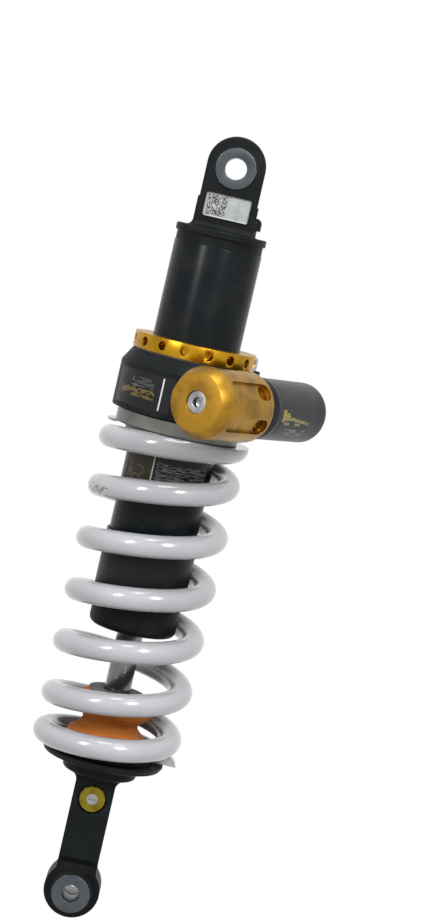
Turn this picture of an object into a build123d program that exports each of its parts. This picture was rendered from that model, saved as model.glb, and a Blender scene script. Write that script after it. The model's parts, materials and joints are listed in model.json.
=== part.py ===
from build123d import *
import math
import os

# Rear shock absorber: a single-tube gas damper inside a coil spring, with an eye at each end,
# a hand-turned hydraulic spring preload adjuster and a rebound adjuster in the lower mount.
# Millimetres. The origin is the centre of the upper eye. +Z points up along the damper, and
# both eyes are bored along Y. The lower eye is straight below the upper one.

os.makedirs("parts", exist_ok=True)

# ---------------------------------------------------------------- driving dimensions
EYE_TO_EYE = 422.0          # centre of the upper eye to centre of the lower eye
SEAT_TO_LOWER_EYE = 81.2    # face of the lower spring seat to the lower eye

RUN = 0.05                  # radial clearance of a sliding or turning fit
LOOSE = 0.35                # radial clearance where two pieces pass without guiding

# Damper tube and the top mount that closes it
TUBE_RADIUS = 25.0
TUBE_WALL = 2.0
CAP_TOP = -35.4             # upper face of the cap flange
CAP_FLANGE_HEIGHT = 4.2
CAP_FLANGE_LIP = 0.8        # how far the flange stands out past the tube
CAP_NECK_HEIGHT = 5.0       # narrower band between the flange and the tube
CAP_NECK_STEP = 0.4
CAP_PLUG_DEPTH = 16.0       # length of the plug that screws into the tube
CAP_SEAL_DEPTH = 6.0        # from the top of the tube to the seal on the plug
LUG_WIDTH = 33.0
LUG_ROOT_WIDTH = 34.6       # below the shoulder
LUG_SHOULDER_DEPTH = 18.5   # from the eye down to the shoulder
LUG_THICKNESS = 21.0
LUG_CROWN_RISE = 1.4       # centre of the crown above the eye
LUG_CHAMFER = 1.2
LUG_SINK = 2.0              # how far the lug reaches down into the flange
CAP_FLANGE_FILLET = 0.8
LUG_ROOT_FILLET = 3.5

# Eyes: a steel sleeve turns in a lined bush, between two seals
UPPER_BORE_RADIUS = 6.1
UPPER_SLEEVE_WALL = 5.4
UPPER_SLEEVE_LENGTH = 24.0
LOWER_BORE_RADIUS = 5.1
LOWER_SLEEVE_WALL = 6.0
LOWER_SLEEVE_LENGTH = 33.6
SLEEVE_CHAMFER = 1.2        # outside edges of both sleeves
SLEEVE_BORE_CHAMFER = 0.4
LOWER_EYE_RADIUS = 16.1
LOWER_EYE_THICKNESS = 18.0
BUSH_WALL = 1.8
DUST_LIP_WALL = 1.2
DUST_LIP_SHORT = 1.4        # how far the lip stops short of the sleeve's end
SEAL_THICKNESS = 1.6
SEAL_STEP = 0.2             # how far each seal sits below the face of its eye

# Hydraulic preload adjuster round the tube
RING_TOP = -99.7
RING_HEIGHT = 8.7
RING_WIDTH = 9.9            # radial thickness outside the tube
RING_HOLES = 16
RING_HOLE_RADIUS = 2.55
RING_HOLE_DEPTH = 6.5
RING_HOLE_PHASE = 2.9       # degrees
RING_CHAMFER = 0.5
THRUST_WASHER_HEIGHT = 0.9
HOUSING_HEIGHT = 33.7
HOUSING_ROOF = 8.5
HOUSING_SLEEVE_WALL = 2.9
HOUSING_WALL = 6.1
HOUSING_CHAMFER_WIDTH = 4.8
HOUSING_CHAMFER_HEIGHT = 7.9
HOUSING_RIM_FILLET = 0.6
SEAT_PISTON_WIDTH = 5.0
SEAT_PISTON_HEIGHT = 21.0
SEAT_SEAL_DEPTH = 6.0       # from the top of the seat's piston
SEAT_GAP = 0.3              # between the seat and the housing
SEAT_FLANGE_HEIGHT = 8.8
COARSE_PRELOAD_TRAVEL = 6.0
FINE_PRELOAD_TRAVEL = 10.0

# Pump of the preload adjuster, whose axis is level and passes beside the tube
PUMP_ANGLE = 32.0           # degrees from +Y towards +X
PUMP_AXIS_GAP = 16.5        # from the side of the housing to the pump axis
PUMP_AXIS_RISE = 1.0        # above the middle of the housing
KNOB_TO_SADDLE = 75.0       # along the pump axis, from the knob's face to the nearest point
KNOB_RADIUS = 19.6
KNOB_LENGTH = 50.0
KNOB_FACE_RADIUS = 15.8
KNOB_CHAMFER_LENGTH = 7.0
KNOB_POCKETS = 6
KNOB_POCKET_PHASE = -36.0   # degrees
KNOB_POCKET_LENGTH = 38.5
KNOB_POCKET_WIDTH = 9.7
KNOB_POCKET_DEPTH = 2.4
KNOB_POCKET_START = 8.0
KNOB_SKIRT_DEPTH = 14.0     # ring-shaped hollow in the back of the knob
KNOB_SKIRT_WALL = 6.0
KNOB_HUB_WALL = 4.0
KNOB_REAR_FILLET = 2.5
KNOB_SCREW_RADIUS = 6.2
KNOB_SCREW_HEX = 5.0        # across the flats
KNOB_SCREW_HEX_DEPTH = 4.5
KNOB_SCREW_INSET = 0.8      # head of the screw below the face of the knob
KNOB_GAP = 1.5              # between the knob and the boss
LEAD_SCREW_RADIUS = 4.0
LEAD_SCREW_START = 8.0      # behind the knob's face
LEAD_SCREW_END_GAP = 2.0    # short of the floor of the cylinder
PUMP_BOSS_LENGTH = 6.0
PUMP_BOSS_RADIUS = 17.6
PUMP_RADIUS = 17.0
PUMP_WALL = 5.0
PUMP_END_WALL = 5.5
PUMP_END_ROUND = 6.0
PUMP_LENGTH = 57.0
PUMP_PISTON_LENGTH = 9.0
PUMP_PISTON_START = 1.0     # of the piston, from the open end of the cylinder
PUMP_SPIGOT_DEPTH = 3.0
PUMP_SPIGOT_WIDTH = 2.5
SADDLE_LENGTH = 42.0
SADDLE_HEIGHT = 24.0

# Spring: round wire, both ends closed and ground flat
WIRE_RADIUS = 6.6
SPRING_TURNS = 7.5
SPRING_GUIDE_GAP = 2.9      # between the guide sleeve and the inside of the coils
SEAT_LAND = 5.9             # how far the seats reach past the inside of the coils
TOP_TIP_DEPTH = -5.0        # centre of the wire at the upper tip, below the upper seat
BOTTOM_TIP_HEIGHT = -0.8    # centre of the wire at the lower tip, above the lower seat
CLOSED_PITCH = 13.5         # rise per turn of the closed ends
TOP_CLOSED_TURNS = 0.6
BOTTOM_CLOSED_TURNS = 0.5
TOP_RAMP_TURNS = 0.8        # turns over which the pitch opens up
BOTTOM_RAMP_TURNS = 1.0
SPRING_STEPS = 16           # points per turn of the helix
SPIGOT_HEIGHT = 3.0         # rims that centre the spring on its seats

# Lower end of the tube
END_CAP_HEIGHT = 18.0
END_CAP_LIP = 0.1
END_CAP_ROUND = 3.8
END_CAP_BORE_RADIUS = 13.0
END_CAP_THREAD = 13.0
GUIDE_SLEEVE_LENGTH = 37.2
GUIDE_SLEEVE_WALL = 1.4
SEAL_HEAD_HEIGHT = 17.0
SEAL_HEAD_RING_DEPTH = 9.0  # from the top of the seal head to its outer seal
BUMPER_HEIGHT = 5.0
WIPER_HEIGHT = 4.0
ROD_SEAL_HEIGHT = 4.0
ROD_SEAL_RISE = 5.0         # above the thread of the end cap
ROD_SEAL_WALL = 3.0
BUMPER_GAP = 4.0            # between the top-out bumper and the tube

# Rod, piston and gas chamber
ROD_RADIUS = 7.5
ROD_CORE_RADIUS = 2.6
ROD_CORE_DEPTH = 8.0        # short of the piston
ROD_PORT_RADIUS = 1.2
ROD_PORT_DEPTH = 12.0
NEEDLE_TIP_DEPTH = 18.0
NEEDLE_TAPER = 4.0
NEEDLE_TIP_RADIUS = 0.6
NEEDLE_RADIUS = 2.4
DAMPER_STROKE = 50.0
SPARE_EXTENSION = 1.0       # left under the piston when all preload is wound on
PISTON_HEIGHT = 14.0
PISTON_BAND_HEIGHT = 8.0
PISTON_BAND_WALL = 1.6
PISTON_GAP = 0.3            # the piston runs on its band
PISTON_PORTS = 6
PISTON_PORT_RADIUS = 2.4
PISTON_PORT_CIRCLE = 12.5
ROD_SPIGOT_RADIUS = 5.0
SHIM_STACK_HEIGHT = 3.2
SHIM_RADIUS = 16.0
SHIM_STEP = 2.2             # each shim is this much smaller than the last
SHIMS = 4
PISTON_NUT_HEIGHT = 8.0
PISTON_NUT_WIDTH = 17.0     # across the flats
FLOATING_PISTON_HEIGHT = 13.0
FLOATING_PISTON_TOP = -88.0
FLOATING_PISTON_WALL = 5.0
FLOATING_PISTON_FLOOR = 4.0
SEAL_CORD = 2.2             # width of the square seals

# Bump stop and lower spring seat
BUMP_STOP_HEIGHT = 32.5
BUMP_STOP_TOP_RADIUS = 16.3
BUMP_STOP_UPPER_RADIUS = 21.3
BUMP_STOP_UPPER_HEIGHT = 21.0   # of the widest part of each lobe and of the waist between them
BUMP_STOP_WAIST_RADIUS = 16.1
BUMP_STOP_WAIST_HEIGHT = 15.6
BUMP_STOP_LOWER_RADIUS = 23.5
BUMP_STOP_LOWER_HEIGHT = 6.5
BUMP_STOP_FOOT_STEP = 2.5   # how much smaller the foot is than the lower lobe
BUMP_WASHER_HEIGHT = 1.2
ROD_IN_SIGHT = 36.6         # between the end cap and the bump washer
LOWER_SEAT_HEIGHT = 2.2
BACKING_RING_HEIGHT = 1.8
BACKING_RING_STEP = 0.9     # how much smaller it is than the seat
BACKING_RING_FILLET = 1.4
MOUNT_COLLAR_RADIUS = 21.4
MOUNT_COLLAR_HEIGHT = 8.2
MOUNT_COLLAR_FILLET = 2.0
ARM_WIDTH = 23.0
ARM_THICKNESS = 22.0
ARM_FILLET = 5.0

# Rebound adjuster
REBOUND_ABOVE_EYE = 55.1
REBOUND_KNOB_RADIUS = 8.0
REBOUND_KNOB_LENGTH = 6.5
REBOUND_KNOB_NOTCHES = 12
REBOUND_NOTCH_RADIUS = 0.7
REBOUND_STEM_RADIUS = 3.0
REBOUND_STEM_REACH = 6.0    # past the axis of the damper
REBOUND_SCREW_RADIUS = 3.2
REBOUND_SCREW_HEIGHT = 3.0
REBOUND_SLOT_WIDTH = 0.9
REBOUND_GAP = 0.5           # between the knob and its recess

# Gas valve, upright beside the lug, with its cap in a pocket of the lug
GAS_VALVE_OFFSET = 16.7     # from the axis of the damper
GAS_VALVE_RADIUS = 2.4
GAS_VALVE_DEPTH = 7.0       # below the top of the flange
GAS_CAP_RADIUS = 4.3
GAS_CAP_RISE = 4.2          # underside of the cap above the flange
GAS_CAP_HEIGHT = 7.0
GAS_CAP_ROUND = 3.2
GAS_POCKET_GAP = 0.5
GAS_PASSAGE_RADIUS = 0.8

# Bleed screw of the preload housing
BLEED_SCREW_RADIUS = 4.0
BLEED_SCREW_HEAD = 7.5
BLEED_THREAD_RADIUS = 2.5
BLEED_THREAD_DEPTH = 5.0
BLEED_BOSS_WALL = 2.5
BLEED_HEX = 4.0             # across the flats
BLEED_HEX_DEPTH = 3.0
BLEED_EDGE_GAP = 2.2        # from the edge of the preload ring, along X
BLEED_BACK_GAP = 13.0       # the same along Y

# ---------------------------------------------------------------- sizes that follow
tube_bore = TUBE_RADIUS - TUBE_WALL
cap_bottom = CAP_TOP - CAP_FLANGE_HEIGHT
tube_top = cap_bottom - CAP_NECK_HEIGHT
plug_bottom = tube_top - CAP_PLUG_DEPTH

ring_radius = TUBE_RADIUS + RING_WIDTH
ring_bottom = RING_TOP - RING_HEIGHT
housing_top = ring_bottom - THRUST_WASHER_HEIGHT
housing_bottom = housing_top - HOUSING_HEIGHT
housing_sleeve_radius = TUBE_RADIUS + RUN + HOUSING_SLEEVE_WALL
seat_piston_inner = housing_sleeve_radius + RUN
seat_piston_outer = seat_piston_inner + SEAT_PISTON_WIDTH
housing_bore = seat_piston_outer + RUN
housing_radius = housing_bore + HOUSING_WALL
spring_top = housing_bottom - SEAT_FLANGE_HEIGHT

guide_radius = TUBE_RADIUS + GUIDE_SLEEVE_WALL
spring_inner = guide_radius + SPRING_GUIDE_GAP
spring_mean = spring_inner + WIRE_RADIUS
seat_radius = spring_inner + SEAT_LAND
spigot_radius = spring_inner - LOOSE

lower_eye_z = -EYE_TO_EYE
spring_bottom = lower_eye_z + SEAT_TO_LOWER_EYE
spring_length = spring_top - spring_bottom

seat_bottom = spring_bottom - LOWER_SEAT_HEIGHT
backing_bottom = seat_bottom - BACKING_RING_HEIGHT
collar_bottom = backing_bottom - MOUNT_COLLAR_HEIGHT
bump_bottom = spring_bottom + SPIGOT_HEIGHT
bump_top = bump_bottom + BUMP_STOP_HEIGHT
washer_top = bump_top + BUMP_WASHER_HEIGHT
tube_end = washer_top + ROD_IN_SIGHT
tube_bottom = tube_end + END_CAP_HEIGHT
thread_top = tube_bottom + END_CAP_THREAD
seal_head_top = thread_top + SEAL_HEAD_HEIGHT
bumper_top = seal_head_top + BUMPER_HEIGHT
guide_top = tube_bottom + GUIDE_SLEEVE_LENGTH

rod_fit = ROD_RADIUS + RUN
preload_travel = COARSE_PRELOAD_TRAVEL + FINE_PRELOAD_TRAVEL
piston_bottom = bumper_top + preload_travel + SPARE_EXTENSION + SHIM_STACK_HEIGHT
piston_top = piston_bottom + PISTON_HEIGHT
nut_bottom = piston_top + SHIM_STACK_HEIGHT
rod_top = nut_bottom + PISTON_NUT_HEIGHT

upper_sleeve_radius = UPPER_BORE_RADIUS + UPPER_SLEEVE_WALL
lower_sleeve_radius = LOWER_BORE_RADIUS + LOWER_SLEEVE_WALL
rebound_z = lower_eye_z + REBOUND_ABOVE_EYE
rod_bottom = rebound_z + REBOUND_KNOB_RADIUS + 2 * REBOUND_GAP

pump_z = (housing_top + housing_bottom) / 2 + PUMP_AXIS_RISE
pump_offset = housing_radius + PUMP_AXIS_GAP
boss_start = KNOB_LENGTH + KNOB_GAP
pump_start = boss_start + PUMP_BOSS_LENGTH
pump_end = pump_start + PUMP_LENGTH
pump_bore = PUMP_RADIUS - PUMP_WALL
pump_floor = pump_end - PUMP_END_WALL
piston_start = pump_start + PUMP_PISTON_START

# ---------------------------------------------------------------- helpers


def disc(radius, low, high):
    """A round bar on the Z axis between two heights."""
    bar = Cylinder(radius, high - low, align=(Align.CENTER, Align.CENTER, Align.MIN))
    return Pos(0, 0, low) * bar


def tube(outer, inner, low, high):
    """A plain ring on the Z axis between two heights."""
    return disc(outer, low, high) - disc(inner, low - 1, high + 1)


def turned(points):
    """A body of revolution about Z from its half outline, as (radius, height) points."""
    outline = Plane.XZ * make_face(Polyline(*points, close=True))
    return revolve(outline, Axis.Z)


def cross_bar(radius, thickness, z):
    """A round bar along Y, centred on the Z axis at height z."""
    return Pos(0, 0, z) * Rot(90, 0, 0) * Cylinder(radius, thickness)


def cross_tube(outer, inner, thickness, z):
    """A sleeve along Y, centred on the Z axis at height z."""
    return cross_bar(outer, thickness, z) - cross_bar(inner, thickness + 2, z)


def hexagon(across_flats, low, high):
    """A hexagonal bar on the Z axis."""
    outline = RegularPolygon(across_flats / 2, 6, major_radius=False)
    return Pos(0, 0, low) * extrude(outline, high - low)


def save(solid, name):
    """Write one piece of the shock absorber to its own STEP file."""
    solid.label = name
    export_step(solid, f"parts/{name}.step")


pump_direction = Vector(math.sin(math.radians(PUMP_ANGLE)), math.cos(math.radians(PUMP_ANGLE)), 0)
pump_outward = Vector(math.cos(math.radians(PUMP_ANGLE)), -math.sin(math.radians(PUMP_ANGLE)), 0)
knob_face = pump_outward * pump_offset - pump_direction * KNOB_TO_SADDLE + Vector(0, 0, pump_z)
pump_frame = Plane(origin=knob_face, x_dir=pump_outward, z_dir=pump_direction).location


def on_pump_axis(solid):
    """Place a piece drawn on Z, with the knob's face at zero, on the pump's axis."""
    return pump_frame * solid


# ---------------------------------------------------------------- top mount and upper eye


def lug_slab(outline):
    """A slab of the lug's thickness with its front and back edges broken."""
    slab = extrude(Plane.XZ * outline, LUG_THICKNESS / 2, both=True)
    edges = slab.edges().group_by(Axis.Y)
    return chamfer(edges[0] + edges[-1], LUG_CHAMFER)


def make_lug():
    """The flat lug of the upper eye: a rounded crown on a slightly wider root."""
    foot = CAP_TOP - LUG_SINK
    height = LUG_CROWN_RISE - foot
    upper = Pos(0, foot + height / 2) * Rectangle(LUG_WIDTH, height)
    upper += Pos(0, LUG_CROWN_RISE) * Circle(LUG_WIDTH / 2)
    root_height = -LUG_SHOULDER_DEPTH - foot
    root = Pos(0, foot + root_height / 2) * Rectangle(LUG_ROOT_WIDTH, root_height)
    return lug_slab(upper) + lug_slab(root)


def make_top_mount():
    cap_radius = TUBE_RADIUS + CAP_FLANGE_LIP
    neck_radius = TUBE_RADIUS - CAP_NECK_STEP
    flange = disc(cap_radius, cap_bottom, CAP_TOP)
    flange = fillet(flange.edges().filter_by(GeomType.CIRCLE), CAP_FLANGE_FILLET)
    body = make_lug() + flange
    root = body.edges().filter_by_position(Axis.Z, CAP_TOP - 0.01, CAP_TOP + 0.01)
    root = root.filter_by(GeomType.LINE)
    body = fillet(root, LUG_ROOT_FILLET)
    body += disc(neck_radius, tube_top, cap_bottom)
    body += disc(tube_bore - RUN, plug_bottom, tube_top)
    body -= cap_seal
    body -= cross_bar(upper_sleeve_radius + RUN + BUSH_WALL, LUG_THICKNESS + 2, 0)
    pocket = disc(GAS_CAP_RADIUS + GAS_POCKET_GAP, CAP_TOP, gas_cap_top + 2 * GAS_POCKET_GAP)
    body -= beside_lug * pocket
    body -= beside_lug * disc(GAS_VALVE_RADIUS, gas_valve_bottom, CAP_TOP + 1)
    body -= beside_lug * disc(GAS_PASSAGE_RADIUS, plug_bottom - 1, gas_valve_bottom)
    return body


beside_lug = Pos(GAS_VALVE_OFFSET, 0, 0)
gas_valve_bottom = CAP_TOP - GAS_VALVE_DEPTH
gas_cap_bottom = CAP_TOP + GAS_CAP_RISE
gas_cap_top = gas_cap_bottom + GAS_CAP_HEIGHT
cap_seal_top = tube_top - CAP_SEAL_DEPTH
cap_seal = tube(tube_bore, tube_bore - RUN - SEAL_CORD, cap_seal_top - SEAL_CORD, cap_seal_top)
save(cap_seal, "cap_seal")
save(make_top_mount(), "top_mount")


def eye_bush(sleeve_radius, eye_thickness, z):
    """The lined bush between an eye and its sleeve, short of both faces."""
    length = eye_thickness - 2 * (SEAL_THICKNESS + SEAL_STEP)
    return cross_tube(sleeve_radius + RUN + BUSH_WALL, sleeve_radius + RUN, length, z)


def eye_seals(sleeve_radius, eye_thickness, sleeve_length, z):
    """The two seals of an eye, each with a dust lip where the sleeve stands far out."""
    inner = sleeve_radius + RUN
    face = eye_thickness / 2 - SEAL_STEP
    seal = cross_tube(inner + BUSH_WALL, inner, SEAL_THICKNESS, z)
    seal = Pos(0, SEAL_THICKNESS / 2 - face, 0) * seal
    lip_end = sleeve_length / 2 - DUST_LIP_SHORT
    if lip_end > eye_thickness / 2:
        lip = cross_tube(inner + DUST_LIP_WALL, inner, lip_end - face, z)
        seal += Pos(0, -(face + lip_end) / 2, 0) * lip
    return Compound(children=[seal, Rot(0, 0, 180) * seal])


save(eye_bush(upper_sleeve_radius, LUG_THICKNESS, 0), "upper_bush")
save(eye_seals(upper_sleeve_radius, LUG_THICKNESS, UPPER_SLEEVE_LENGTH, 0), "upper_eye_seals")


def make_sleeve(outer, inner, length, z):
    """A bearing sleeve, chamfered more outside than in its bore."""
    sleeve = cross_bar(outer, length, z)
    sleeve = chamfer(sleeve.edges().filter_by(GeomType.CIRCLE), SLEEVE_CHAMFER)
    sleeve -= cross_bar(inner, length + 2, z)
    bore_rims = sleeve.edges().filter_by(GeomType.CIRCLE).sort_by(SortBy.RADIUS)[:2]
    return chamfer(bore_rims, SLEEVE_BORE_CHAMFER)


upper_sleeve = make_sleeve(upper_sleeve_radius, UPPER_BORE_RADIUS, UPPER_SLEEVE_LENGTH, 0)
save(upper_sleeve, "upper_sleeve")

gas_valve_top = gas_cap_top - GAS_CAP_ROUND
gas_cap = disc(GAS_CAP_RADIUS, gas_cap_bottom, gas_cap_top)
gas_cap = fillet(gas_cap.edges().group_by(Axis.Z)[-1], GAS_CAP_ROUND)
gas_cap -= disc(GAS_VALVE_RADIUS, gas_cap_bottom - 1, gas_valve_top)
save(beside_lug * gas_cap, "gas_valve_cap")
gas_valve = disc(GAS_VALVE_RADIUS, gas_valve_bottom, gas_valve_top)
gas_valve -= disc(GAS_PASSAGE_RADIUS, gas_valve_bottom - 1, gas_valve_top - 1)
save(beside_lug * gas_valve, "gas_valve")

# ---------------------------------------------------------------- damper tube and its lower end

damper_tube = tube(TUBE_RADIUS, tube_bore, tube_bottom, tube_top)
damper_tube = chamfer(damper_tube.edges().group_by(Axis.Z)[-1].sort_by(SortBy.RADIUS)[-1], 0.6)
save(damper_tube, "damper_tube")

guide_sleeve = tube(guide_radius, TUBE_RADIUS, tube_bottom, guide_top)
guide_sleeve = chamfer(guide_sleeve.edges().group_by(Axis.Z)[-1].sort_by(SortBy.RADIUS)[-1], 1.0)
save(guide_sleeve, "spring_guide_sleeve")

end_cap = disc(TUBE_RADIUS + END_CAP_LIP, tube_end, tube_bottom)
end_cap = fillet(end_cap.edges().group_by(Axis.Z)[0], END_CAP_ROUND)
end_cap += disc(tube_bore, tube_bottom, thread_top)
end_cap -= disc(END_CAP_BORE_RADIUS, tube_end - 1, thread_top + 1)
save(end_cap, "lower_end_cap")

nose_bottom = tube_end + WIPER_HEIGHT
rod_seal_low = thread_top + ROD_SEAL_RISE
seal_head = disc(tube_bore, thread_top, seal_head_top)
seal_head += disc(END_CAP_BORE_RADIUS, nose_bottom, thread_top)
seal_head -= disc(rod_fit, nose_bottom - 1, seal_head_top + 1)
seal_pocket = disc(ROD_RADIUS + ROD_SEAL_WALL, rod_seal_low, rod_seal_low + ROD_SEAL_HEIGHT)
seal_head -= seal_pocket
head_seal_low = seal_head_top - SEAL_HEAD_RING_DEPTH
head_seal = tube(tube_bore, tube_bore - SEAL_CORD, head_seal_low, head_seal_low + SEAL_CORD)
seal_head -= head_seal
save(seal_head, "seal_head")

rod_seal_radius = ROD_RADIUS + ROD_SEAL_WALL
save(tube(rod_seal_radius, rod_fit, rod_seal_low, rod_seal_low + ROD_SEAL_HEIGHT), "rod_seal")
save(head_seal, "seal_head_ring")
rod_wiper = turned([
    (rod_fit, tube_end + 0.5),
    (rod_fit + 1.2, tube_end + 0.5),
    (END_CAP_BORE_RADIUS, tube_end + 1.8),
    (END_CAP_BORE_RADIUS, nose_bottom),
    (rod_fit, nose_bottom),
])
save(rod_wiper, "rod_wiper")

bumper = tube(tube_bore - BUMPER_GAP, ROD_RADIUS + LOOSE, seal_head_top, bumper_top)
bumper = fillet(bumper.edges().group_by(Axis.Z)[-1], 1.5)
save(bumper, "top_out_bumper")

# ---------------------------------------------------------------- floating piston

floating_bottom = FLOATING_PISTON_TOP - FLOATING_PISTON_HEIGHT
floating_radius = tube_bore - RUN
seal_low = FLOATING_PISTON_TOP - FLOATING_PISTON_HEIGHT / 2 - SEAL_CORD / 2
floating_piston = disc(floating_radius, floating_bottom, FLOATING_PISTON_TOP)
floating_hollow = floating_radius - FLOATING_PISTON_WALL
floating_piston -= disc(floating_hollow, floating_bottom + FLOATING_PISTON_FLOOR, FLOATING_PISTON_TOP + 1)
groove = tube(TUBE_RADIUS, floating_radius - SEAL_CORD, seal_low, seal_low + SEAL_CORD)
save(floating_piston - groove, "floating_piston")
floating_seal = tube(floating_radius, floating_radius - SEAL_CORD, seal_low, seal_low + SEAL_CORD)
save(floating_seal, "floating_piston_seal")

# ---------------------------------------------------------------- coarse preload ring

preload_ring = tube(ring_radius, TUBE_RADIUS + RUN, ring_bottom, RING_TOP)
rims = preload_ring.edges().filter_by(GeomType.CIRCLE).sort_by(SortBy.RADIUS)[-2:]
preload_ring = chamfer(rims, RING_CHAMFER)
hole_height = (ring_bottom + RING_TOP) / 2
for index in range(RING_HOLES):
    turn = RING_HOLE_PHASE + (index + 0.5) * 360 / RING_HOLES
    hole = disc(RING_HOLE_RADIUS, ring_radius - RING_HOLE_DEPTH, ring_radius + 5)
    preload_ring -= Pos(0, 0, hole_height) * Rot(0, 0, turn) * Rot(0, 90, 0) * hole
save(preload_ring, "preload_ring")

# ---------------------------------------------------------------- preload housing and pump

washer = tube(ring_radius - 1.5, TUBE_RADIUS + RUN, housing_top, ring_bottom)
save(washer, "thrust_washer")


def make_housing():
    body = turned([
        (TUBE_RADIUS + RUN, housing_top),
        (housing_radius - HOUSING_CHAMFER_WIDTH, housing_top),
        (housing_radius, housing_top - HOUSING_CHAMFER_HEIGHT),
        (housing_radius, housing_bottom),
        (TUBE_RADIUS + RUN, housing_bottom),
    ])
    outer_rim = body.edges().group_by(Axis.Z)[0].sort_by(SortBy.RADIUS)[-1]
    body = fillet(outer_rim, HOUSING_RIM_FILLET)
    web_depth = pump_offset
    web = Pos(web_depth / 2, 0, KNOB_TO_SADDLE) * Box(web_depth, SADDLE_HEIGHT, SADDLE_LENGTH)
    body += on_pump_axis(Pos(-web_depth, 0, 0) * web)
    boss = disc(PUMP_BOSS_RADIUS, boss_start, pump_start)
    boss = fillet(boss.edges().group_by(Axis.Z)[0], 1.5)
    body += on_pump_axis(boss)
    body += Pos(*bleed_place) * disc(BLEED_SCREW_RADIUS + BLEED_BOSS_WALL, -HOUSING_HEIGHT / 2, 0)
    body -= on_pump_axis(disc(PUMP_RADIUS, pump_start, pump_end + 5))
    body -= on_pump_axis(disc(pump_bore, pump_start - PUMP_SPIGOT_DEPTH, pump_start + 1))
    body -= on_pump_axis(disc(LEAD_SCREW_RADIUS + RUN, boss_start - 1, pump_end))
    cavity_top = housing_top - HOUSING_ROOF
    body -= tube(housing_bore, housing_sleeve_radius, housing_bottom - 1, cavity_top)
    body -= disc(TUBE_RADIUS + RUN, housing_bottom - 1, housing_top + 1)
    body -= Pos(*bleed_place) * disc(BLEED_THREAD_RADIUS, -BLEED_THREAD_DEPTH - 1, 1)
    return body


bleed_place = (ring_radius - BLEED_EDGE_GAP, ring_radius - BLEED_BACK_GAP, housing_top)
save(make_housing(), "preload_housing")

bleed_screw = disc(BLEED_SCREW_RADIUS, 0, BLEED_SCREW_HEAD)
bleed_screw += disc(BLEED_THREAD_RADIUS, -BLEED_THREAD_DEPTH, 0)
bleed_screw = chamfer(bleed_screw.edges().group_by(Axis.Z)[-1], 0.7)
bleed_screw -= hexagon(BLEED_HEX, BLEED_SCREW_HEAD - BLEED_HEX_DEPTH, BLEED_SCREW_HEAD + 1)
save(Pos(*bleed_place) * bleed_screw, "bleed_screw")

pump_cylinder = disc(PUMP_RADIUS, pump_start, pump_end)
pump_cylinder = fillet(pump_cylinder.edges().group_by(Axis.Z)[-1], PUMP_END_ROUND)
pump_cylinder -= disc(pump_bore, pump_start - 1, pump_floor)
save(on_pump_axis(pump_cylinder), "pump_cylinder")
spigot_seal = tube(pump_bore, pump_bore - PUMP_SPIGOT_WIDTH, pump_start - PUMP_SPIGOT_DEPTH, pump_start)
save(on_pump_axis(spigot_seal), "pump_seal_ring")

pump_piston_radius = pump_bore - RUN
piston_end = piston_start + PUMP_PISTON_LENGTH
pump_seal_start = piston_start + PUMP_PISTON_LENGTH / 2
pump_piston = tube(pump_piston_radius, LEAD_SCREW_RADIUS + RUN, piston_start, piston_end)
pump_seal = tube(
    pump_piston_radius,
    pump_piston_radius - SEAL_CORD,
    pump_seal_start,
    pump_seal_start + SEAL_CORD,
)
save(on_pump_axis(pump_piston - pump_seal), "pump_piston")
save(on_pump_axis(pump_seal), "pump_piston_seal")

lead_screw = disc(LEAD_SCREW_RADIUS, LEAD_SCREW_START, pump_floor - LEAD_SCREW_END_GAP)
lead_screw = chamfer(lead_screw.edges().group_by(Axis.Z)[-1], 1.0)
save(on_pump_axis(lead_screw), "lead_screw")


def make_knob():
    face_slope = KNOB_RADIUS - KNOB_FACE_RADIUS
    knob = disc(KNOB_RADIUS, 0, KNOB_LENGTH)
    knob = chamfer(knob.edges().group_by(Axis.Z)[0], KNOB_CHAMFER_LENGTH, face_slope)
    knob = fillet(knob.edges().group_by(Axis.Z)[-1], KNOB_REAR_FILLET)
    middle = KNOB_POCKET_START + KNOB_POCKET_LENGTH / 2
    slot = SlotOverall(KNOB_POCKET_LENGTH, KNOB_POCKET_WIDTH)
    cutter = extrude(slot, 2 * KNOB_POCKET_DEPTH)
    cutter = Rot(0, 90, 0) * cutter
    cutter = Pos(KNOB_RADIUS - KNOB_POCKET_DEPTH, 0, middle) * cutter
    step_middle = KNOB_POCKET_START + KNOB_POCKET_LENGTH - KNOB_POCKET_WIDTH / 2
    step = Rot(0, 90, 0) * Cylinder(KNOB_POCKET_WIDTH / 2 - 0.8, 2 * KNOB_POCKET_DEPTH)
    cutter += Pos(KNOB_RADIUS - KNOB_POCKET_DEPTH, 0, step_middle) * step
    for index in range(KNOB_POCKETS):
        turn = KNOB_POCKET_PHASE + index * 360 / KNOB_POCKETS
        knob -= Rot(0, 0, turn) * cutter
    knob -= disc(KNOB_SCREW_RADIUS, -1, LEAD_SCREW_START)
    knob -= disc(LEAD_SCREW_RADIUS, 0, KNOB_LENGTH + 1)
    skirt_floor = KNOB_LENGTH - KNOB_SKIRT_DEPTH
    hub_radius = LEAD_SCREW_RADIUS + KNOB_HUB_WALL
    knob -= tube(KNOB_RADIUS - KNOB_SKIRT_WALL, hub_radius, skirt_floor, KNOB_LENGTH + 1)
    return knob


save(on_pump_axis(make_knob()), "preload_knob")

knob_screw = disc(KNOB_SCREW_RADIUS, KNOB_SCREW_INSET, LEAD_SCREW_START)
knob_screw = chamfer(knob_screw.edges().group_by(Axis.Z)[0], 0.5)
knob_screw -= hexagon(KNOB_SCREW_HEX, 0, KNOB_SCREW_HEX_DEPTH)
save(on_pump_axis(knob_screw), "knob_screw")

# ---------------------------------------------------------------- upper spring seat

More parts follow.
